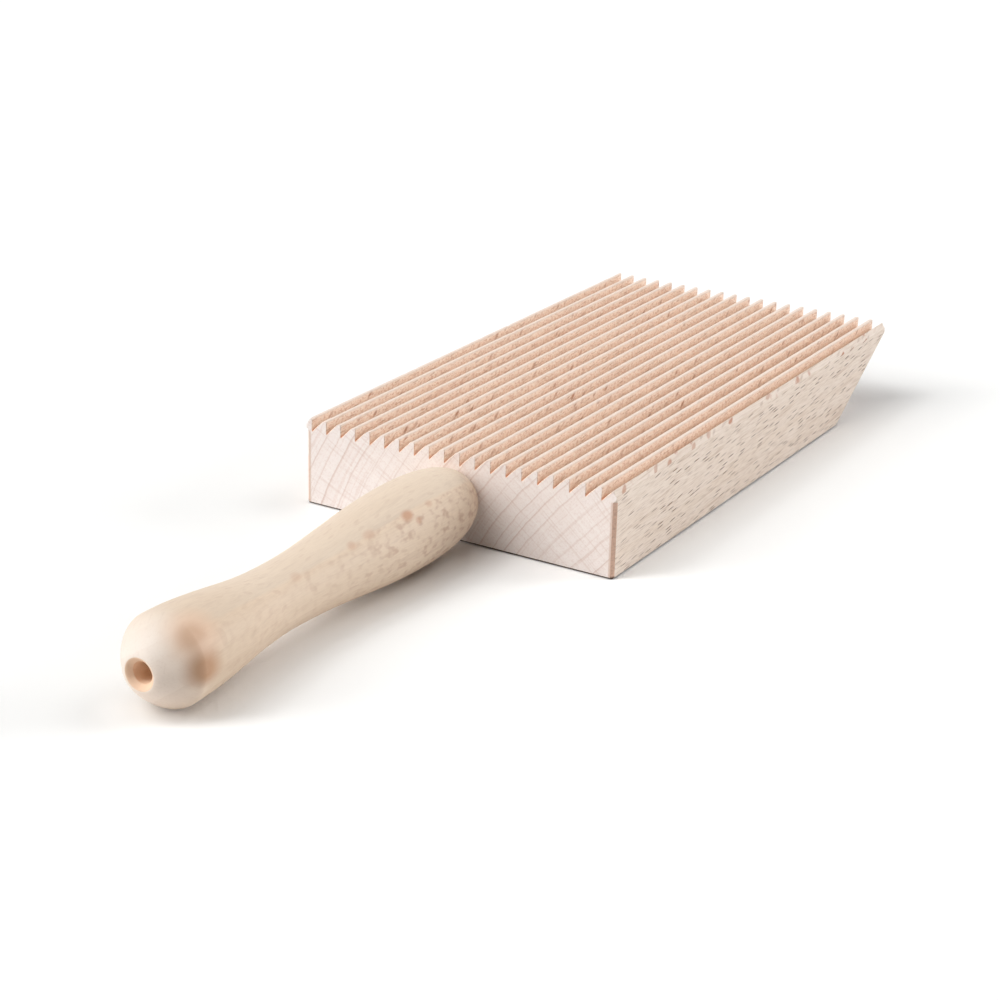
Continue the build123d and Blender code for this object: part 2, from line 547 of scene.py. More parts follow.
# Tones: each material starts from a pair that the wood's clouds or specks blend, and every further one is
# laid over it by the strength of its feature times a share from 0 to 1
PLANED_TONES = ((0.86, 0.728, 0.622), (0.93, 0.812, 0.717))
PLANED_RING = (0.80, 0.64, 0.50)
PLANED_FIBRE = (0.64, 0.49, 0.38)
PLANED_GRAIN = (0.60, 0.44, 0.33)
PLANED_FINE_DASH = (0.42, 0.28, 0.20)
PLANED_DASH = (0.18, 0.075, 0.03)
BEVEL_DASH = (0.54, 0.27, 0.17)
BEVEL_BLOT = (0.56, 0.27, 0.18)


def planed_beech():
    """The block's planed sides and underside: pale, with short dark dashes along the grain."""
    graph = Graph("beech_planed")
    wood = Beech(graph, **BLOCK_GRAIN)
    base = graph.blend(wood.cloud, *PLANED_TONES)
    base = graph.blend(wood.ring_tone * 0.30, base, PLANED_RING)
    base = graph.blend(graph.step(wood.fibre, *PLANED_FIBRE_RISE) * 0.42, base, PLANED_FIBRE)
    base = graph.blend(wood.grain_line * 0.50, base, PLANED_GRAIN)
    base = graph.blend(wood.fine_dash * 0.50, base, PLANED_FINE_DASH)
    bevel_foot = BLOCK_HEIGHT - TOP_BEVEL_HEIGHT
    bevel = graph.step(wood.z, bevel_foot - BEVEL_FADE[0], bevel_foot + BEVEL_FADE[1])
    strong = wood.dash * (graph.step(wood.patch, *PLANED_PATCH_RISE) * 0.5 + 0.5)
    base = graph.blend(strong, base, graph.blend(bevel, PLANED_DASH, BEVEL_DASH))
    blot = wood.streak(*BEVEL_STREAK) * bevel
    base = graph.blend(blot * 0.85, base, BEVEL_BLOT)
    height = wood.fibre * 0.6 - wood.dash * 0.5
    return finish(graph, base, roughness=wood.fibre * 0.15 + 0.55, height=height, strength=0.25, depth=0.12)


RIDGE_TONES = ((0.92, 0.735, 0.605), (0.975, 0.815, 0.70))
RIDGE_RING = (0.80, 0.56, 0.43)
RIDGE_DARK_SPECK = (0.66, 0.42, 0.31)
RIDGE_PALE_SPECK = (1.0, 0.90, 0.80)
RIDGE_FINE_DASH = (0.58, 0.34, 0.22)
RIDGE_DASH = (0.46, 0.26, 0.16)
RIDGE_BLOT = (0.44, 0.225, 0.14)
RIDGE_PAINTED_GROOVE_LIGHT = (1.0, 0.85, 0.72)
RIDGE_FOOT_STAIN_AND_SHADE = (0.84, 0.42, 0.22)
RIDGE_CREST_PAINTED_SHADE = (0.84, 0.715, 0.63)


def ridge_beech():
    """The machined ridges: warmer than the planed faces, speckled, with brown flecks down their walls,
    with painted shade on the crests and painted light and shade low in the grooves.
    """
    graph = Graph("beech_ridges")
    wood = Beech(graph, **BLOCK_GRAIN)
    base = graph.blend(wood.cloud, *RIDGE_TONES)
    base = graph.blend(wood.ring_tone * 0.35, base, RIDGE_RING)
    base = graph.blend(graph.step(wood.speck, *DARK_SPECK_RISE) * 0.62, base, RIDGE_DARK_SPECK)
    base = graph.blend(graph.step(wood.speck, *PALE_SPECK_RISE) * 0.65, base, RIDGE_PALE_SPECK)
    base = graph.blend(wood.fine_dash * 0.30, base, RIDGE_FINE_DASH)
    base = graph.blend(wood.dash * 0.40, base, RIDGE_DASH)
    blot = wood.streak(*RIDGE_STREAK)
    patchy = graph.step(wood.patch, *RIDGE_PATCH_RISE) * 0.75 + 0.15
    base = graph.blend(blot * patchy, base, RIDGE_BLOT)
    # Painted light: the walls turn paler towards the valleys, lifting the grooves' shade.
    groove_light = graph.step(wood.z, VALLEY_HEIGHT + GROOVE_LIGHT_REACH, VALLEY_HEIGHT)
    base = graph.blend(groove_light * 0.45, base, RIDGE_PAINTED_GROOVE_LIGHT)
    # Darker and redder at the walls' foot, in torn-fibre patches and towards the front end: partly stained
    # wood and partly painted shade in the valleys.
    width, length = TORN_STAIN_SIZE
    torn = graph.noise(graph.vector(wood.x / width, wood.y / length, TORN_STAIN_SEED), detail=2.0)
    foot = graph.step(wood.z, VALLEY_HEIGHT + FOOT_FADE[0], VALLEY_HEIGHT + FOOT_FADE[1])
    front = graph.step(wood.y, END_FACE_Y + FRONT_FADE[0], END_FACE_Y + FRONT_FADE[1])
    foot_stain_and_shade = graph.step(torn, *TORN_RISE) * 0.3 + front * 0.5
    base = graph.blend(foot * foot_stain_and_shade, base, RIDGE_FOOT_STAIN_AND_SHADE)
    # Painted shade: the crests, which catch the most light, are toned darker and greyer.
    crest = graph.step(wood.z, BLOCK_HEIGHT - CREST_FADE[0], BLOCK_HEIGHT - CREST_FADE[1])
    base = graph.blend(crest * 0.85, base, RIDGE_CREST_PAINTED_SHADE)
    height = wood.speck * 0.6 + wood.fibre * 0.6 - wood.dash * 0.6 - blot * 0.6
    return finish(graph, base, roughness=wood.speck * 0.2 + 0.6, height=height, strength=0.4, depth=0.18)


END_TONES = ((0.935, 0.825, 0.765), (0.97, 0.885, 0.84))
END_PAINTED_LIGHT_TONE = (0.97, 0.90, 0.87)
END_SPECK = (0.74, 0.58, 0.51)
END_RING = (0.80, 0.61, 0.53)
END_FINE_RING = (0.72, 0.52, 0.44)
END_DARK_RAY = (0.66, 0.48, 0.40)
END_PALE_RAY = (1.0, 0.93, 0.87)
END_RING_LINE = (0.58, 0.37, 0.29)
END_RUBBED = (0.68, 0.49, 0.39)


def end_beech():
    """Sawn end grain: pinkish white, with reddish ring lines, fine rays and a rubbed band by the chamfers,
    and painted light on its left part, away from the handle.
    """
    graph = Graph("beech_end_grain")
    wood = Beech(graph, **BLOCK_GRAIN)
    base = graph.blend(wood.cloud, *END_TONES)
    # Painted light: the end face is paler towards -X, the side that takes the most light.
    base = graph.blend(graph.step(wood.x, *END_PAINTED_LIGHT_FADE) * 0.5, base, END_PAINTED_LIGHT_TONE)
    base = graph.blend(graph.step(wood.speck, *END_SPECK_RISE) * 0.30, base, END_SPECK)
    base = graph.blend(wood.ring_tone * 0.15, base, END_RING)
    base = graph.blend(wood.fine_ring * 0.28, base, END_FINE_RING)
    base = graph.blend(wood.dark_ray * 0.26, base, END_DARK_RAY)
    base = graph.blend(wood.pale_ray * 0.45, base, END_PALE_RAY)
    base = graph.blend(wood.ring_line * 0.44, base, END_RING_LINE)
    side = graph.maths("ABSOLUTE", wood.x)
    chamfer_edge = HALF_WIDTH - CORNER_SETBACK
    rubbed = graph.step(side, chamfer_edge - RUBBED_FADE[0], chamfer_edge - RUBBED_FADE[1])
    rubbed = rubbed * graph.step(wood.z, VALLEY_HEIGHT + RUBBED_TOP_FADE, VALLEY_HEIGHT - RUBBED_TOP_FADE)
    base = graph.blend(rubbed * 0.75, base, END_RUBBED)
    height = wood.speck * 0.5 - wood.ring_line * 0.4 + wood.pale_ray * 0.2
    return finish(graph, base, roughness=wood.speck * 0.1 + 0.7, height=height, strength=0.3, depth=0.12)


CORNER_TONES = ((0.86, 0.56, 0.42), (0.96, 0.67, 0.52))
CORNER_SPECK = (0.58, 0.34, 0.24)
CORNER_PAINTED_CONTACT_SHADOW = (0.11, 0.07, 0.05)


def corner_beech():
    """The small chamfers and the broken edges, rubbed redder, and nearly black along the underside, where a
    contact shadow is painted.
    """
    graph = Graph("beech_corners")
    wood = Beech(graph, **BLOCK_GRAIN)
    base = graph.blend(wood.cloud, *CORNER_TONES)
    base = graph.blend(graph.step(wood.speck, *CORNER_SPECK_RISE) * 0.5, base, CORNER_SPECK)
    # Painted contact shadow: the broken edges along the underside turn nearly black.
    underside = graph.step(wood.z, EDGE_BREAK + CONTACT_SHADOW_FADE[0], EDGE_BREAK - CONTACT_SHADOW_FADE[1])
    base = graph.blend(underside, base, CORNER_PAINTED_CONTACT_SHADOW)
    height = wood.speck * 0.6 + wood.fibre * 0.4
    return finish(graph, base, roughness=wood.speck * 0.15 + 0.6, height=height, strength=0.3, depth=0.12)


# Marks and painted light and shade on the handle. A fade is how far a mark starts and ends from the station
# or height that it follows. The seam, a painted line between light and shade, parts the half that faces up
# and to the left, towards the light, from the half that faces down and to the right.
HANDLE_STREAK = (3.4, 2.2, 0.0, 0.38)
MOTTLE_SIZE = (1.2, 2.1)
SEAM_LEAN = (0.75, 0.66)
SEAM_WANDER = 1.2
SEAM_FADE = 0.5
MOTTLE_RISE = (0.46, 0.76)
TURNED_FIBRE_RISE = (0.4, 0.75)
DOME_SPECK_RISE = (0.5, 0.7)
UNDERSHADE_WANDER = 2.0
UNDERSHADE_FADE = (1.0, 7.0)
SWELL_FADE = (6.0, 8.0)
DOME_FADE = 4.0
FACING_FADE = 4.0
FACING_LEAN = 0.8
MOUTH_FADE = (2.0, 0.4)

TURNED_TONES = ((0.76, 0.595, 0.44), (0.84, 0.69, 0.53))
TURNED_RING = (0.62, 0.46, 0.33)
TURNED_FIBRE = (0.58, 0.43, 0.31)
TURNED_GRAIN = (0.57, 0.42, 0.31)
TURNED_FINE_DASH = (0.56, 0.38, 0.26)
TURNED_DASH = (0.50, 0.31, 0.21)
LOWER_HALF_PAINTED_LIGHT = (0.88, 0.69, 0.54)
LOWER_BLOT = (0.54, 0.34, 0.24)
UPPER_HALF_PAINTED_LIGHT = (0.80, 0.69, 0.59)
TURNED_PAINTED_UNDERSHADE = (0.70, 0.47, 0.29)
TURNED_SWELL = (0.58, 0.43, 0.30)
DOME_TONE_AND_PAINTED_LIGHT = ((0.88, 0.785, 0.70), (1.0, 0.85, 0.73))
DOME_RING = (0.66, 0.49, 0.37)
DOME_SPECK = (0.62, 0.45, 0.34)


def turned_beech():
    """The turned and sanded handle: yellower cream, with soft ray flecks, a few reddish stains and brown
    patches at the butt, and painted light and shade on its two halves, its lower side and its dome.
    """
    graph = Graph("beech_turned")
    wood = Beech(graph, **HANDLE_GRAIN)
    base = graph.blend(wood.cloud, *TURNED_TONES)
    base = graph.blend(wood.ring_tone * 0.35, base, TURNED_RING)
    base = graph.blend(graph.step(wood.fibre, *TURNED_FIBRE_RISE) * 0.35, base, TURNED_FIBRE)
    base = graph.blend(wood.grain_line * 0.35, base, TURNED_GRAIN)
    base = graph.blend(wood.fine_dash * 0.15, base, TURNED_FINE_DASH)
    base = graph.blend(wood.dash * 0.25, base, TURNED_DASH)
    # Painted light and shade: the seam is where light meets shade on the handle; the soft flecks keep to the
    # lower half.
    seam = (wood.z - AXIS_HEIGHT) * SEAM_LEAN[1] - wood.x * SEAM_LEAN[0]
    seam = seam + wood.cloud * SEAM_WANDER - SEAM_WANDER / 2
    lower = graph.step(seam, SEAM_FADE, -SEAM_FADE)
    blot = wood.streak(*HANDLE_STREAK)
    width, length = MOTTLE_SIZE
    mottle = graph.noise(graph.vector(wood.x / width, wood.y / length, wood.z / width), detail=1.5)
    bulb = graph.step(wood.y, END_FACE_Y - WAIST_STATION, END_FACE_Y - BULB_STATION)
    soft_blot = graph.step(mottle, *MOTTLE_RISE) * 0.75 + blot * 0.3
    soft_blot = soft_blot * (lower * 0.9 + 0.08) * (bulb * 0.75 + 0.25)
    # Painted light: the lower right half is lighter and warmer, and the upper left half paler.
    base = graph.blend(lower * 0.28, base, LOWER_HALF_PAINTED_LIGHT)
    base = graph.blend(soft_blot, base, LOWER_BLOT)
    base = graph.blend((1.0 - lower) * 0.35, base, UPPER_HALF_PAINTED_LIGHT)
    # Painted shade: the handle turns darker and tanner below its axis.
    level = wood.z + wood.cloud * UNDERSHADE_WANDER
    painted_undershade = graph.step(level, AXIS_HEIGHT - UNDERSHADE_FADE[0], AXIS_HEIGHT - UNDERSHADE_FADE[1])
    base = graph.blend(painted_undershade * 0.35, base, TURNED_PAINTED_UNDERSHADE)
    waist_y = END_FACE_Y - WAIST_STATION
    butt_y = END_FACE_Y - BUTT_STATION
    tip_y = END_FACE_Y - HANDLE_LENGTH
    swell = graph.step(wood.y, waist_y - SWELL_FADE[0], butt_y + SWELL_FADE[1])
    base = graph.blend(swell * 0.24, base, TURNED_SWELL)
    dome = graph.step(wood.y, butt_y + DOME_FADE, tip_y)
    # Painted light: the dome is lighter and warmer on its lower right, the side turned from the light.
    dome_painted_light = graph.step(wood.x * FACING_LEAN - wood.z + AXIS_HEIGHT, -FACING_FADE, FACING_FADE)
    dome_tone = graph.blend(dome_painted_light, *DOME_TONE_AND_PAINTED_LIGHT)
    base = graph.blend(dome * 0.92, base, dome_tone)
    base = graph.blend(dome * wood.ring_tone * 0.22, base, DOME_RING)
    base = graph.blend(dome * graph.step(wood.speck, *DOME_SPECK_RISE) * 0.12, base, DOME_SPECK)
    for station, angle, across, along, strength, tone in HANDLE_MARKS:
        spot = wood.spot(handle_surface(station, math.radians(angle)), (across, along, across))
        base = graph.blend(spot * strength, base, tone)
    height = wood.fibre * 0.6 - wood.dash * 0.3
    return finish(graph, base, roughness=wood.fibre * 0.12 + 0.45, height=height, strength=0.15, depth=0.08)


BORE_TONES_AND_PAINTED_LIGHT = ((0.93, 0.66, 0.47), (0.98, 0.74, 0.56))
BORE_MOUTH = (0.76, 0.50, 0.33)


def bore_beech():
    """The wall of the centre hole: end grain browned by the drill, painted pale to lift the hole's shade, and
    darker at the mouth.
    """
    graph = Graph("beech_bore")
    wood = Beech(graph, **HANDLE_GRAIN)
    tip_y = END_FACE_Y - HANDLE_LENGTH
    # Painted light: the wall is pale all the way in, darker only at its mouth.
    mouth = graph.step(wood.y, tip_y + MOUTH_FADE[0], tip_y + MOUTH_FADE[1])
    base = graph.blend(wood.speck, *BORE_TONES_AND_PAINTED_LIGHT)
    base = graph.blend(mouth * 0.3, base, BORE_MOUTH)
    return finish(graph, base, roughness=wood.speck * 0.2 + 0.7, height=wood.speck, strength=0.4, depth=0.15)


DOWEL_TONES = ((0.72, 0.54, 0.38), (0.80, 0.64, 0.48))
DOWEL_RING = (0.64, 0.44, 0.30)
DOWEL_DASH = (0.40, 0.24, 0.15)


def dowel_beech():
    """The fluted dowel inside the joint."""
    graph = Graph("beech_dowel")
    wood = Beech(graph, **DOWEL_GRAIN)
    base = graph.blend(wood.cloud, *DOWEL_TONES)
    base = graph.blend(wood.ring_tone * 0.4, base, DOWEL_RING)
    base = graph.blend(wood.dash * 0.6, base, DOWEL_DASH)
    return finish(graph, base, roughness=wood.fibre * 0.15 + 0.6, height=wood.fibre, strength=0.3, depth=0.1)


# Block mesh

RIDGES, PLANED, ENDS, CORNERS = range(4)


def arc(centre, radius, start, end, count):
    """Points round a centre from one angle from straight up to another, without the first."""
    points = []
    for index in range(1, count + 1):
        angle = start + (end - start) * index / count
        points.append((centre[0] + radius * math.sin(angle), centre[1] + radius * math.cos(angle)))
    return points


def straight(first, last, count):
    """Points from first to last, without the first."""
    return [
        (first[0] + (last[0] - first[0]) * index / count, first[1] + (last[1] - first[1]) * index / count)
        for index in range(1, count + 1)
    ]


def ridge(wall_x):
    """One ridge, from the foot of its slope up over the crest and down its upright wall."""
    foot = (wall_x - GROOVE_PITCH, VALLEY_HEIGHT)
    centre = (wall_x - CREST_EDGE_RADIUS, BLOCK_HEIGHT - CREST_RADIUS)
    run = centre[0] - foot[0]
    rise = centre[1] - foot[1]
    slope = math.atan2(rise, run) + math.asin(CREST_RADIUS / math.hypot(run, rise))
    top = (centre[0] - CREST_RADIUS * math.sin(slope), centre[1] + CREST_RADIUS * math.cos(slope))
    edge_centre = (centre[0], BLOCK_HEIGHT - CREST_EDGE_RADIUS)
    share = (LAND_FOOT - foot[1]) / (top[1] - foot[1])
    points = [(foot[0] + (top[0] - foot[0]) * share, LAND_FOOT)]
    points += straight(points[-1], top, SLOPE_STEPS)
    points += arc(centre, CREST_RADIUS, -slope, 0, CREST_STEPS)
    points += arc(edge_centre, CREST_EDGE_RADIUS, 0, math.pi / 2, CREST_EDGE_STEPS)
    points += straight(points[-1], (wall_x, LAND_FOOT), WALL_STEPS)
    points.append((wall_x, VALLEY_HEIGHT))
    return points


def outside_bevel(point):
    """How far a point lies outside the nearer top bevel or side; negative is inside the wood."""
    x = abs(point[0]) - HALF_WIDTH
    z = point[1] - (BLOCK_HEIGHT - TOP_BEVEL_HEIGHT)
    slant = (x * TOP_BEVEL_HEIGHT + z * TOP_BEVEL_WIDTH) / math.hypot(TOP_BEVEL_WIDTH, TOP_BEVEL_HEIGHT)
    return max(slant, x)


def top_outline():
    """The ridges between the two top bevels, left to right."""
    points = [(FIRST_WALL_X - GROOVE_PITCH, VALLEY_HEIGHT)]
    for index in range(GROOVE_COUNT + 1):
        points += ridge(FIRST_WALL_X + index * GROOVE_PITCH)
    kept = []
    for before, after in zip(points, points[1:]):
        a, b = outside_bevel(before), outside_bevel(after)
        if a * b < 0:
            share = a / (a - b)
            kept.append(tuple(start + (end - start) * share for start, end in zip(before, after)))
        if b < 0:
            kept.append(after)
    return kept


def block_outline():
    """The block's section, anticlockwise seen from the handle's end, and each side's material."""
    top = top_outline()
    heights = [EDGE_BREAK, *SIDE_HEIGHTS, VALLEY_HEIGHT, LAND_FOOT]
    heights += [VALLEY_HEIGHT + CORNER_SETBACK, BLOCK_HEIGHT - TOP_BEVEL_HEIGHT]
    right = [(HALF_WIDTH, z) for z in heights]
    left = [(-x, z) for x, z in reversed(right)]
    underside = [(EDGE_BREAK - HALF_WIDTH, 0)]
    underside += straight(underside[0], (HALF_WIDTH - EDGE_BREAK, 0), UNDERSIDE_COLUMNS)
    bevel_right = straight(right[-1], top[-1], TOP_BEVEL_STEPS)
    bevel_left = straight(top[0], left[0], TOP_BEVEL_STEPS)
    points = underside + right + bevel_right + list(reversed(top))[1:] + bevel_left + left[1:]
    kinds = []
    for index, point in enumerate(points):
        after = points[(index + 1) % len(points)]
        middle = ((point[0] + after[0]) / 2, (point[1] + after[1]) / 2)
        inside = outside_bevel(middle) < -2 * TOUCH and abs(middle[0]) < HALF_WIDTH - TOUCH
        if inside and middle[1] > VALLEY_HEIGHT - EDGE_REACH:
            kinds.append(RIDGES)
        # The underside's broken edges take the corners' material, which paints a contact shadow on them.
        elif inside and TOUCH < middle[1] < EDGE_BREAK:
            kinds.append(CORNERS)
        else:
            kinds.append(PLANED)
    return points, kinds


def corner_cut(z):
    """How far the corner chamfer has eaten into the front and the side at a height."""
    return max(0.0, CORNER_SETBACK - max(0.0, z - VALLEY_HEIGHT))


def length_at(z):
    """The block's length at a height: full on the upright land, shorter below it."""
    return BLOCK_LENGTH - UNDER_BEVEL_RUN * max(0.0, 1 - z / LAND_FOOT)


def inward(points, index, amount):
    """The point moved into the wood, square to the outline."""
    before = Vector(points[index - 1])
    here = Vector(points[index])
    after = Vector(points[(index + 1) % len(points)])
    one = (here - before).normalized()
    two = (after - here).normalized()
    normal = Vector((-(one.y + two.y), one.x + two.x))
    moved = here + normal.normalized() * amount
    return (moved.x, moved.y)


def worn(x, y, z):
    """Small chips along the crests and torn fibres in the upright walls, as a shift in X and in Z."""
    if z < VALLEY_HEIGHT + EDGE_REACH:
        return 0.0, 0.0
    here = Vector((x, y, z))
    crest = max(0.0, (z - BLOCK_HEIGHT + CHIP_REACH) / CHIP_REACH)
    chip = max(0.0, noise.noise(here * CHIP_SPACING + CHIP_SEED) - CHIP_RARITY) * CHIP_GAIN
    torn = (1 + noise.noise(here * TORN_SPACING + TORN_SEED)) / 2
    return -TORN_DEPTH * torn, -TORN_DEPTH * torn * crest - CHIP_DEPTH * chip * crest


def block_rows():
    """The mesh's rows: distances from the front, shares of the middle and distances from the back."""
    inner = round((BLOCK_LENGTH - 2 * END_MARGIN) / ROW_SPACING)
    rows = [("front", d) for d in (0.0, ARRIS, EDGE_BREAK, CORNER_SETBACK, END_MARGIN)]
    rows += [("middle", (index + 1) / (inner + 1)) for index in range(inner)]
    rows += [("back", d) for d in (END_MARGIN, EDGE_BREAK, ARRIS, 0.0)]
    return rows


def row_place(part, d, z):
    """How far from the end face a row lies at a height."""
    if part == "front":
        return d
    if part == "back":
        return length_at(z) - d
    return END_MARGIN + (length_at(z) - 2 * END_MARGIN) * d


def block_point(points, index, part, d):
    """One vertex of the block, its Y counted from the end face."""
    x, z = points[index]
    y = row_place(part, d, z)
    on_top = z > VALLEY_HEIGHT - TOUCH and abs(x) < HALF_WIDTH - TOUCH
    at_end = part != "middle" and d == 0
    if on_top and at_end:
        x, z = inward(points, index, ARRIS)
    elif on_top:
        dx, dz = worn(x, y, z)
        x, z = x + dx, z + dz
    if part == "front":
        limit = HALF_WIDTH - max(0.0, corner_cut(z) - d)
        x = max(-limit, min(limit, x))
        z = max(z, EDGE_BREAK - d)
    elif at_end:
        z = max(z, EDGE_BREAK / 2)
    return x, y, z


def far_end(bm, points, verts):
    """The far end: each ridge's upright land, and the slanted face below them all."""
    land = []
    for point, vert in zip(points + points[:1], verts + verts[:1]):
        if point[1] > LAND_FOOT - TOUCH:
            land.append(vert)
        else:
            if len(land) > 2:
                bm.faces.new(land).material_index = ENDS
            land = []
    below = [vert for point, vert in zip(points, verts) if point[1] < LAND_FOOT + TOUCH]
    bm.faces.new(below).material_index = ENDS


def socket(bm):
    """The dowel's socket in the end face."""
    rings = []
    for depth in (0.0, SOCKET_DEPTH):
        ring = []
        for index in range(SOCKET_SEGMENTS):
            angle = 2 * math.pi * index / SOCKET_SEGMENTS
            x = SOCKET_RADIUS * math.cos(angle)
            z = AXIS_HEIGHT + SOCKET_RADIUS * math.sin(angle)
            ring.append(bm.verts.new((x * MM, (END_FACE_Y + depth) * MM, z * MM)))
        rings.append(ring)
    tip_y = END_FACE_Y + SOCKET_DEPTH + SOCKET_RADIUS / math.tan(DRILL_HALF_ANGLE)
    tip = bm.verts.new((0, tip_y * MM, AXIS_HEIGHT * MM))
    for index in range(SOCKET_SEGMENTS):
        after = (index + 1) % SOCKET_SEGMENTS
        wall = (rings[0][index], rings[1][index], rings[1][after], rings[0][after])
        bm.faces.new(wall).material_index = ENDS
        bm.faces.new((rings[1][index], tip, rings[1][after])).material_index = ENDS


def block_mesh():
    """The whole block: its outline swept along its rows, its two ends and the socket."""
    points, kinds = block_outline()
    rows = block_rows()
    bm = bmesh.new()
    grid = []
    for part, d in rows:
        line = []
        for index in range(len(points)):
            x, y, z = block_point(points, index, part, d)
            line.append(bm.verts.new((x * MM, (y + END_FACE_Y) * MM, z * MM)))
        grid.append(line)
    for number, (one, two) in enumerate(zip(grid, grid[1:])):
        for index, kind in enumerate(kinds):
            after = (index + 1) % len(points)
            face = bm.faces.new((one[index], one[after], two[after], two[index]))
            x, z = points[index]
            on_side = abs(x) > HALF_WIDTH - TOUCH and z < VALLEY_HEIGHT
            if rows[number][1] < CORNER_SETBACK and number < CORNER_ROWS and (on_side or z < EDGE_BREAK):
                kind = CORNERS
            face.material_index = kind
    far_end(bm, points, grid[-1])
    socket(bm)
    bmesh.ops.remove_doubles(bm, verts=bm.verts, dist=WELD_DISTANCE * MM)
    front = [
        edge for edge in bm.edges
        if edge.is_boundary and max(vert.co.y for vert in edge.verts) < (END_FACE_Y + ARRIS / 2) * MM
    ]
    for item in bmesh.ops.triangle_fill(bm, use_beauty=True, edges=front)["geom"]:
        if isinstance(item, bmesh.types.BMFace):
            item.material_index = ENDS
    bmesh.ops.recalc_face_normals(bm, faces=bm.faces)
    return bm


# Handle mesh

TURNED, BORE = range(2)


def bezier(a, b, c, d, count):
    """Points along a Bezier curve, without the first."""
    points = []
    for index in range(1, count + 1):
        t = index / count
        s = 1 - t
        points.append(tuple(
            s * s * s * p + 3 * s * s * t * q + 3 * s * t * t * u + t * t * t * v
            for p, q, u, v in zip(a, b, c, d)
        ))
    return points


def handle_outline():
    """(radius, station) from the socket's tip, over the outside, to the tip of the centre hole."""
    socket_tip = SOCKET_DEPTH + SOCKET_RADIUS / math.tan(DRILL_HALF_ANGLE)
    hole_tip = HANDLE_LENGTH - HOLE_DEPTH - HOLE_RADIUS / math.tan(DRILL_HALF_ANGLE)
    nose = (NOSE_RADIUS, 0.0)
    bulb = (BULB_RADIUS, BULB_STATION)
    waist = (WAIST_RADIUS, WAIST_STATION)
    butt = (BUTT_RADIUS, BUTT_STATION)
    face_edge = (BUTT_FACE_RADIUS, HANDLE_LENGTH)
    swell_in = SWELL * (WAIST_STATION - BULB_STATION)
    swell_out = SWELL * (BUTT_STATION - WAIST_STATION)
    dome = HANDLE_LENGTH - BUTT_STATION
    points = [(0.0, socket_tip), (SOCKET_RADIUS, SOCKET_DEPTH), (SOCKET_RADIUS, 0.0), nose]
    after_nose = (NOSE_RADIUS + NOSE_RISE * (BULB_RADIUS - NOSE_RADIUS), 0)
    before_bulb = (BULB_RADIUS, BULB_STATION * (1 - NOSE_FULLNESS))
    points += bezier(nose, after_nose, before_bulb, bulb, NOSE_STEPS)
    after_bulb = (BULB_RADIUS, BULB_STATION + swell_in)
    before_waist = (WAIST_RADIUS, WAIST_STATION - swell_in)
    points += bezier(bulb, after_bulb, before_waist, waist, WAIST_STEPS)
    after_waist = (WAIST_RADIUS, WAIST_STATION + swell_out)
    before_butt = (BUTT_RADIUS, BUTT_STATION - swell_out)
    points += bezier(waist, after_waist, before_butt, butt, BUTT_STEPS)
    after_butt = (BUTT_RADIUS, BUTT_STATION + BUTT_FULLNESS * dome)
    before_face = (BUTT_FACE_RADIUS + BUTT_FULLNESS * (BUTT_RADIUS - BUTT_FACE_RADIUS), HANDLE_LENGTH)
    points += bezier(butt, after_butt, before_face, face_edge, DOME_STEPS)
    outside = len(points)
    points.append((COUNTERSINK_RADIUS + HOLE_RIM_WIDTH, HANDLE_LENGTH))
    points.append((COUNTERSINK_RADIUS, HANDLE_LENGTH - HOLE_RIM_DROP))
    points += straight(points[-1], (HOLE_RADIUS, HANDLE_LENGTH - COUNTERSINK_DEPTH), COUNTERSINK_STEPS)
    points += straight(points[-1], (HOLE_RADIUS, HANDLE_LENGTH - HOLE_DEPTH), BORE_STEPS)
    points.append((0.0, hole_tip))
    return points, outside


def handle_surface(station, angle):
    """The place on the handle's outside at a station and at an angle round its axis."""
    points = handle_outline()[0]
    for (radius, before), (next_radius, after) in zip(points, points[1:]):
        if before <= station < after:
            share = (station - before) / (after - before)
            reach = radius + (next_radius - radius) * share
            return reach * math.cos(angle), END_FACE_Y - station, AXIS_HEIGHT + reach * math.sin(angle)


def handle_mesh():
    """The handle: its outline turned round its axis, with slight turning and sanding marks."""
    points, outside = handle_outline()
    bm = bmesh.new()
    rings = []
    for number, (radius, station) in enumerate(points):
        y = (END_FACE_Y - station) * MM
        if radius == 0:
            rings.append([bm.verts.new((0, y, AXIS_HEIGHT * MM))])
            continue
        ring = []
        for index in range(RING_SEGMENTS):
            angle = 2 * math.pi * index / RING_SEGMENTS
            x, z = math.cos(angle), math.sin(angle)
            r = radius
            if FIRST_WORN_RING < number < outside - 1:
                turning = noise.noise(Vector((station * TURNING_SPACING, TURNING_SEED, 0.0)))
                sanding = noise.noise(Vector((x, station, z)) * SANDING_SPACING)
                r -= TURNING_DEPTH * (1 + turning) + SANDING_DEPTH * (1 + sanding)
            ring.append(bm.verts.new((x * r * MM, y, (AXIS_HEIGHT + z * r) * MM)))
        rings.append(ring)
    for number, (one, two) in enumerate(zip(rings, rings[1:])):
        bore = number >= outside
        for index in range(RING_SEGMENTS):
            after = (index + 1) % RING_SEGMENTS
            corners = [one[index % len(one)], one[after % len(one)]]
            corners += [two[after % len(two)], two[index % len(two)]]
            face = bm.faces.new(list(dict.fromkeys(corners)))
            face.material_index = BORE if bore else TURNED
    bmesh.ops.recalc_face_normals(bm, faces=bm.faces)
    return bm


def piece(name, bm, materials, node):
    """A mesh that stands for a CAD node and rides with it."""
    mesh = bpy.data.meshes.new(name)
    bm.to_mesh(mesh)
    bm.free()
    for material in materials:
        mesh.materials.append(material)
    mesh.shade_smooth()
    mesh.set_sharp_from_angle(angle=SHARP_ANGLE)
    made = bpy.data.objects.new(name, mesh)
    bpy.context.scene.collection.objects.link(made)
    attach(made, "root")
    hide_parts(node)


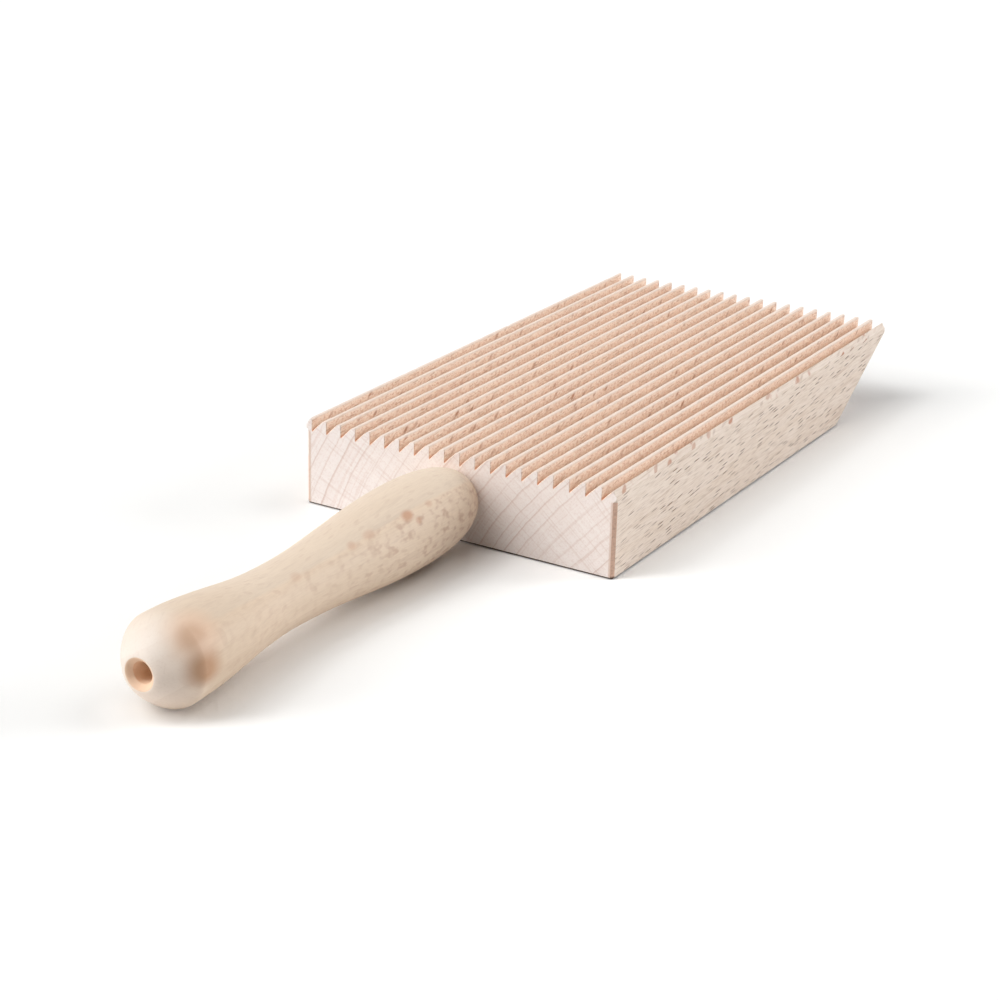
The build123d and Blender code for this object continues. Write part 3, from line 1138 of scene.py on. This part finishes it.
block_materials = [ridge_beech(), planed_beech(), end_beech(), corner_beech()]
piece("block", block_mesh(), block_materials, "ridged_block")
piece("handle", handle_mesh(), [turned_beech(), bore_beech()], "turned_handle")
dowel = frame["nodes"]["joint_dowel"]
dowel.data.materials.clear()
dowel.data.materials.append(dowel_beech())


# Camera, light and floor

def camera():
    """The camera at the photograph's place, turned by its yaw and pitch and then rolled."""
    data = bpy.data.cameras.new("camera")
    data.lens = CAMERA_LENS
    data.sensor_width = SENSOR_WIDTH
    data.clip_end = CAMERA_REACH
    made = bpy.data.objects.new("camera", data)
    forward = Vector((
        -math.sin(CAMERA_YAW) * math.cos(CAMERA_PITCH),
        math.cos(CAMERA_YAW) * math.cos(CAMERA_PITCH),
        -math.sin(CAMERA_PITCH),
    ))
    level = Vector((math.cos(CAMERA_YAW), math.sin(CAMERA_YAW), 0))
    up = level.cross(forward)
    right = math.cos(CAMERA_ROLL) * level + math.sin(CAMERA_ROLL) * up
    top = math.cos(CAMERA_ROLL) * up - math.sin(CAMERA_ROLL) * level
    turn = Matrix((right, top, -forward)).transposed().to_4x4()
    made.matrix_world = Matrix.Translation(Vector(CAMERA_PLACE) * MM) @ turn
    bpy.context.scene.collection.objects.link(made)
    bpy.context.scene.camera = made


def lamp(name, azimuth, elevation, share):
    """One soft lamp far away; angles are in degrees."""
    data = bpy.data.lights.new(name, "SUN")
    data.angle = LAMP_SPREAD
    data.energy = math.pi * share
    made = bpy.data.objects.new(name, data)
    turn, lift = math.radians(azimuth), math.radians(elevation)
    towards = Vector((math.cos(turn) * math.cos(lift), math.sin(turn) * math.cos(lift), math.sin(lift)))
    made.location = towards
    made.rotation_euler = towards.to_track_quat("Z", "Y").to_euler()
    bpy.context.scene.collection.objects.link(made)


def showing(tree):
    """1 for the rays that show the backdrop's own white and 0 for those that light the object."""
    path = tree.nodes.new("ShaderNodeLightPath")
    shown = path.outputs[SHOWING_RAYS[0]]
    for name in SHOWING_RAYS[1:]:
        either = tree.nodes.new("ShaderNodeMath")
        either.operation = "MAXIMUM"
        tree.links.new(shown, either.inputs[0])
        tree.links.new(path.outputs[name], either.inputs[1])
        shown = either.outputs[0]
    return shown


def floor():
    """A plain white floor at Z = 0 that keeps the object's shadow."""
    graph = Graph("floor_white")
    x, y = graph.place()[:2]
    paper = graph.noise(graph.vector(x / PAPER_SIZE, y / PAPER_SIZE, 0.0), detail=1.0)
    seen = graph.blend(paper, *FLOOR_TONES)
    base = graph.blend(Wire(graph, showing(graph.tree)), FLOOR_LIT_TONE, seen)
    graph.feed(graph.shader.inputs["Base Color"], base)
    graph.shader.inputs["Roughness"].default_value = FLOOR_ROUGHNESS
    graph.shader.inputs["Specular IOR Level"].default_value = 0.0
    bm = bmesh.new()
    bmesh.ops.create_grid(bm, x_segments=1, y_segments=1, size=FLOOR_HALF_SIZE)
    mesh = bpy.data.meshes.new("floor")
    bm.to_mesh(mesh)
    bm.free()
    mesh.materials.append(graph.material)
    made = bpy.data.objects.new("floor", mesh)
    bpy.context.scene.collection.objects.link(made)


def background(tree, tint, strength):
    """A background shader of one tint and strength."""
    made = tree.nodes.new("ShaderNodeBackground")
    made.inputs["Color"].default_value = (*tint, 1.0)
    made.inputs["Strength"].default_value = strength
    return made.outputs[0]


def world():
    """White where the backdrop is seen, and a weak sky for the rays that light the object."""
    made = bpy.data.worlds.new("world")
    bpy.context.scene.world = made
    made.use_nodes = True
    tree = made.node_tree
    tree.nodes.clear()
    output = tree.nodes.new("ShaderNodeOutputWorld")
    mix = tree.nodes.new("ShaderNodeMixShader")
    tree.links.new(showing(tree), mix.inputs[0])
    tree.links.new(background(tree, WORLD_TINT, WORLD_LIGHT), mix.inputs[1])
    tree.links.new(background(tree, (1.0, 1.0, 1.0), 1.0), mix.inputs[2])
    tree.links.new(mix.outputs[0], output.inputs["Surface"])


camera()
for height in WINDOW_HEIGHTS:
    lamp(f"window_{height}", WINDOW_AZIMUTH, height, WINDOW_SHARE)
lamp("low_glow", GLOW_AZIMUTH, LOW_GLOW_HEIGHT, LOW_GLOW_SHARE)
lamp("high_glow", GLOW_AZIMUTH, HIGH_GLOW_HEIGHT, HIGH_GLOW_SHARE)
lamp("ceiling", GLOW_AZIMUTH, CEILING_HEIGHT, CEILING_SHARE)
floor()
world()
bpy.context.scene.view_settings.view_transform = "Standard"
